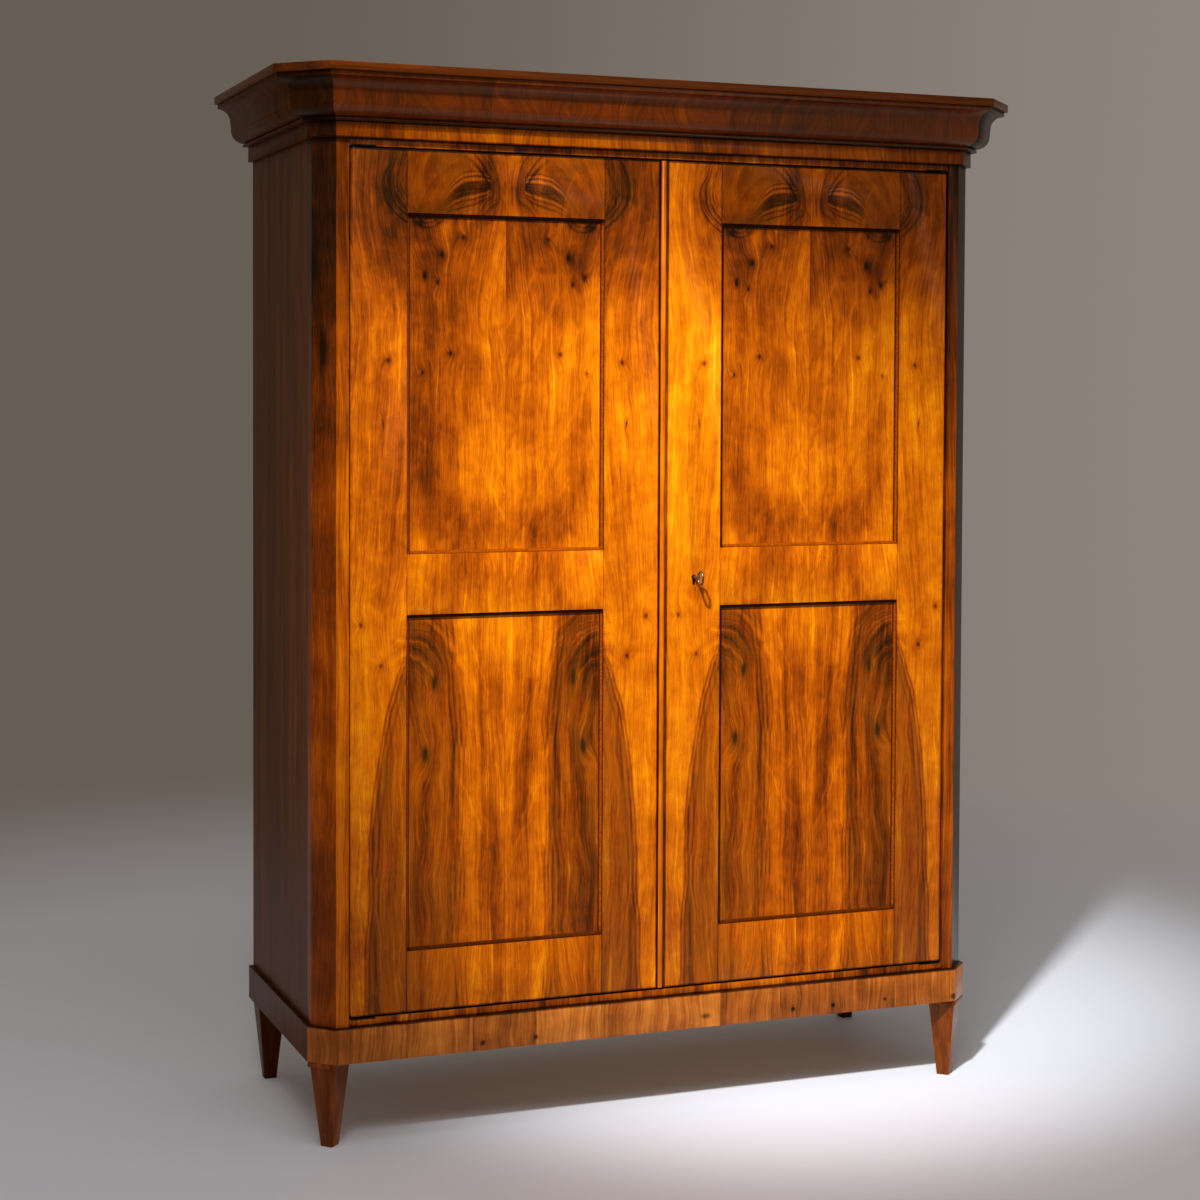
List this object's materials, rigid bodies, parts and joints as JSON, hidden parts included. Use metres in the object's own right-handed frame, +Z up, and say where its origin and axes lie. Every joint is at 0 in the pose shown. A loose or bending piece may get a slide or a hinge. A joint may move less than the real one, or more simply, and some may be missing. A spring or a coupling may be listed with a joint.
{
  "type": "linen cupboard",
  "caption": "Linen cupboard with framed panel doors under a moulded cornice, cut-off front corners, a plinth on tapered feet, shelves and a key lock.",
  "frame": {"origin": "middle of the overall box at floor level", "axes": "+Z up, the doors face -Y, +X to the right as seen from the front"},
  "size_m": [1.61, 0.633, 2.1],
  "materials": {
    "walnut_veneer": "figured walnut veneer, French polished",
    "walnut_solid": "solid walnut, French polished",
    "side_veneer": "plain dark walnut veneer, French polished",
    "softwood": "planed spruce, unfinished and darkened with age",
    "iron": "filed iron, dulled with age"
  },
  "bodies": {
    "case": {"foot_front_left": "walnut_solid", "foot_front_right": "walnut_solid", "foot_back_left": "walnut_solid", "foot_back_right": "walnut_solid", "plinth_front": "walnut_veneer", "plinth_sides": "side_veneer", "plinth_corners": "walnut_veneer", "plinth_back": "softwood", "corner_blocks": "softwood", "bottom_board": "softwood", "bottom_rail": "walnut_veneer", "top_rail": "walnut_veneer", "top_board": "softwood", "door_stops": "walnut_veneer", "bolt_keepers": "iron", "side_left": "side_veneer", "side_right": "side_veneer", "corner_post_left": "walnut_veneer", "corner_post_right": "walnut_veneer", "back_stiles": "softwood", "back_rails": "softwood", "back_panels": "softwood", "frieze_front": "walnut_veneer", "frieze_sides": "side_veneer", "frieze_corners": "walnut_veneer", "crown_front": "walnut_veneer", "crown_left": "side_veneer", "crown_right": "side_veneer", "crown_corners": "walnut_veneer", "cap_strips": "walnut_solid", "cornice_back": "softwood", "dust_board": "softwood", "shelf_1": "softwood", "shelf_2": "softwood", "shelf_3": "softwood", "shelf_4": "softwood", "shelf_battens": "softwood", "pivot_sockets": "iron"},
    "door_left": {"hinge_stile_left": "walnut_veneer", "lock_stile_left": "walnut_veneer", "rails_left": "walnut_veneer", "upper_panel_left": "walnut_veneer", "lower_panel_left": "walnut_veneer", "panel_mouldings_left": "walnut_solid", "pivot_pins_left": "iron", "lock_staple": "iron", "slide_bolt_plates": "iron"},
    "door_right": {"hinge_stile_right": "walnut_veneer", "lock_stile_right": "walnut_veneer", "rails_right": "walnut_veneer", "upper_panel_right": "walnut_veneer", "lower_panel_right": "walnut_veneer", "panel_mouldings_right": "walnut_solid", "pivot_pins_right": "iron", "meeting_bead": "walnut_solid", "lock_case": "iron"},
    "key": {"key": "iron"},
    "lock_bolt": {"lock_bolt": "iron"},
    "slide_bolt_upper": {"slide_bolt_upper": "iron"},
    "slide_bolt_lower": {"slide_bolt_lower": "iron"}
  },
  "joints": [
    {"name": "door_left_swing", "type": "hinge", "parent": "case", "child": "door_left", "pos_m": [-0.6465, -0.2245, 0.258], "axis": [0, 0, -1], "range_deg": [0, 95]},
    {"name": "door_right_swing", "type": "hinge", "parent": "case", "child": "door_right", "pos_m": [0.6465, -0.2245, 0.258], "axis": [0, 0, 1], "range_deg": [0, 95]},
    {"name": "key_turn", "type": "hinge", "parent": "door_right", "child": "key", "pos_m": [0.07, -0.2335, 1.1], "axis": [0, -1, 0], "range_deg": [0, 360]},
    {"name": "lock_bolt_slide", "type": "slide", "parent": "door_right", "child": "lock_bolt", "axis": [-1, 0, 0], "range_m": [0, 0.012]},
    {"name": "slide_bolt_upper_slide", "type": "slide", "parent": "door_left", "child": "slide_bolt_upper", "axis": [0, 0, 1], "range_m": [0, 0.012]},
    {"name": "slide_bolt_lower_slide", "type": "slide", "parent": "door_left", "child": "slide_bolt_lower", "axis": [0, 0, -1], "range_m": [0, 0.012]}
  ],
  "couplings": [
    {"joint": "key_turn", "follows": "lock_bolt_slide", "rad_per_m": 523.6}
  ]
}
